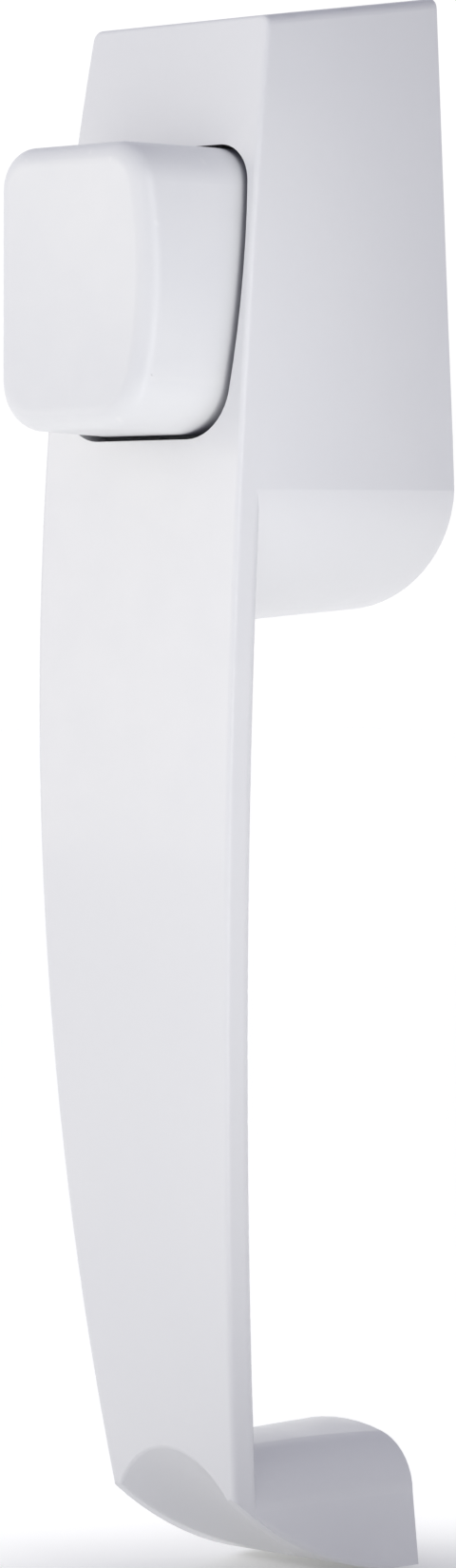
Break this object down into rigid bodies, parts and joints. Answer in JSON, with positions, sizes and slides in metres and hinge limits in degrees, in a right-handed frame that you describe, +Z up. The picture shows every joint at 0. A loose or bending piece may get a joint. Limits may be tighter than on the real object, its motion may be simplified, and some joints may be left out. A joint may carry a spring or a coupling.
{
  "type": "push-button door pull handle",
  "caption": "White outside pull handle for a screen or storm door latch: hollow screw-on housing with a sprung push button, bowed grip strap and flared foot.",
  "frame": {"origin": "push-button axis on the door face, midway between the two screw posts", "axes": "+X to the right seen from outside the door, +Y into the door, +Z up along the handle"},
  "size_m": [0.0308, 0.0395, 0.159],
  "materials": {
    "white_enamel": "smooth semi-gloss white enamel",
    "white_button": "satin white",
    "steel": "turned, bright",
    "spring_steel": "drawn wire, oiled",
    "zinc_plate": "zinc plated",
    "nylon": "natural nylon"
  },
  "bodies": {
    "root": {"handle_body": "white_enamel", "guide_bush": "nylon", "spring_seat": "zinc_plate", "return_spring": "spring_steel", "retainer_plate": "zinc_plate", "plate_screws": "steel", "lock_washers": "spring_steel"},
    "button": {"push_button": "white_button", "button_stem": "steel", "adjusting_screw": "steel", "lock_nut": "steel", "retaining_clip": "spring_steel", "stop_washer": "nylon"}
  },
  "joints": [
    {"name": "button_slide", "type": "slide", "parent": "root", "child": "button", "axis": [0, 1, 0], "range_m": [0, 0.007], "stiffness_N_per_m": 450, "springref_m": -0.006, "deforming": ["return_spring"]}
  ]
}
